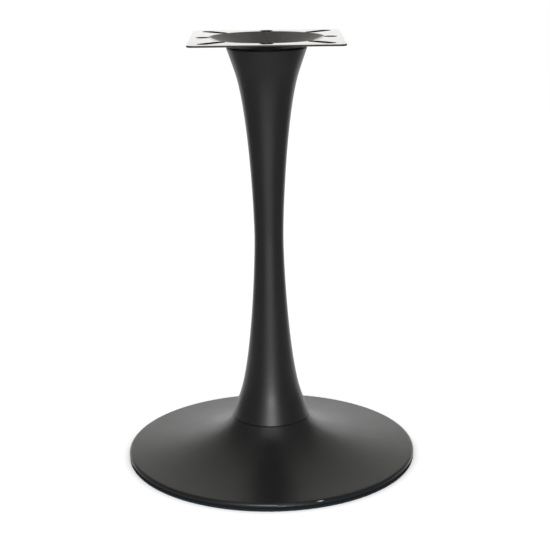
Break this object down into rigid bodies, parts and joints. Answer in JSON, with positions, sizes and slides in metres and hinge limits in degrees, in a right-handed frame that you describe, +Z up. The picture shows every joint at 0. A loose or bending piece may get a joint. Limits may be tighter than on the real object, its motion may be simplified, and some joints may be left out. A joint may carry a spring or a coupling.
{
  "type": "tulip table base",
  "caption": "Black pedestal table base: trumpet-shaped cast foot, hourglass column and square pressed top plate with slots, clamped by a tie rod.",
  "frame": {"origin": "on the floor, at the middle of the foot", "axes": "+Z up along the column; X and Y along the sides of the square top plate"},
  "size_m": [0.5, 0.5, 0.7265],
  "materials": {
    "cast_foot": "satin",
    "floor_rubber": "matte",
    "column_paint": "satin",
    "plate_paint": "satin",
    "zinc_steel": "satin"
  },
  "bodies": {
    "root": {"foot": "cast_foot", "floor_ring": "floor_rubber", "column": "column_paint", "top_plate": "plate_paint", "tie_rod": "zinc_steel", "top_washer": "zinc_steel", "top_lock_washer": "zinc_steel", "top_nut": "zinc_steel", "bottom_washer": "zinc_steel", "bottom_lock_washer": "zinc_steel", "bottom_nut": "zinc_steel"}
  },
  "joints": []
}
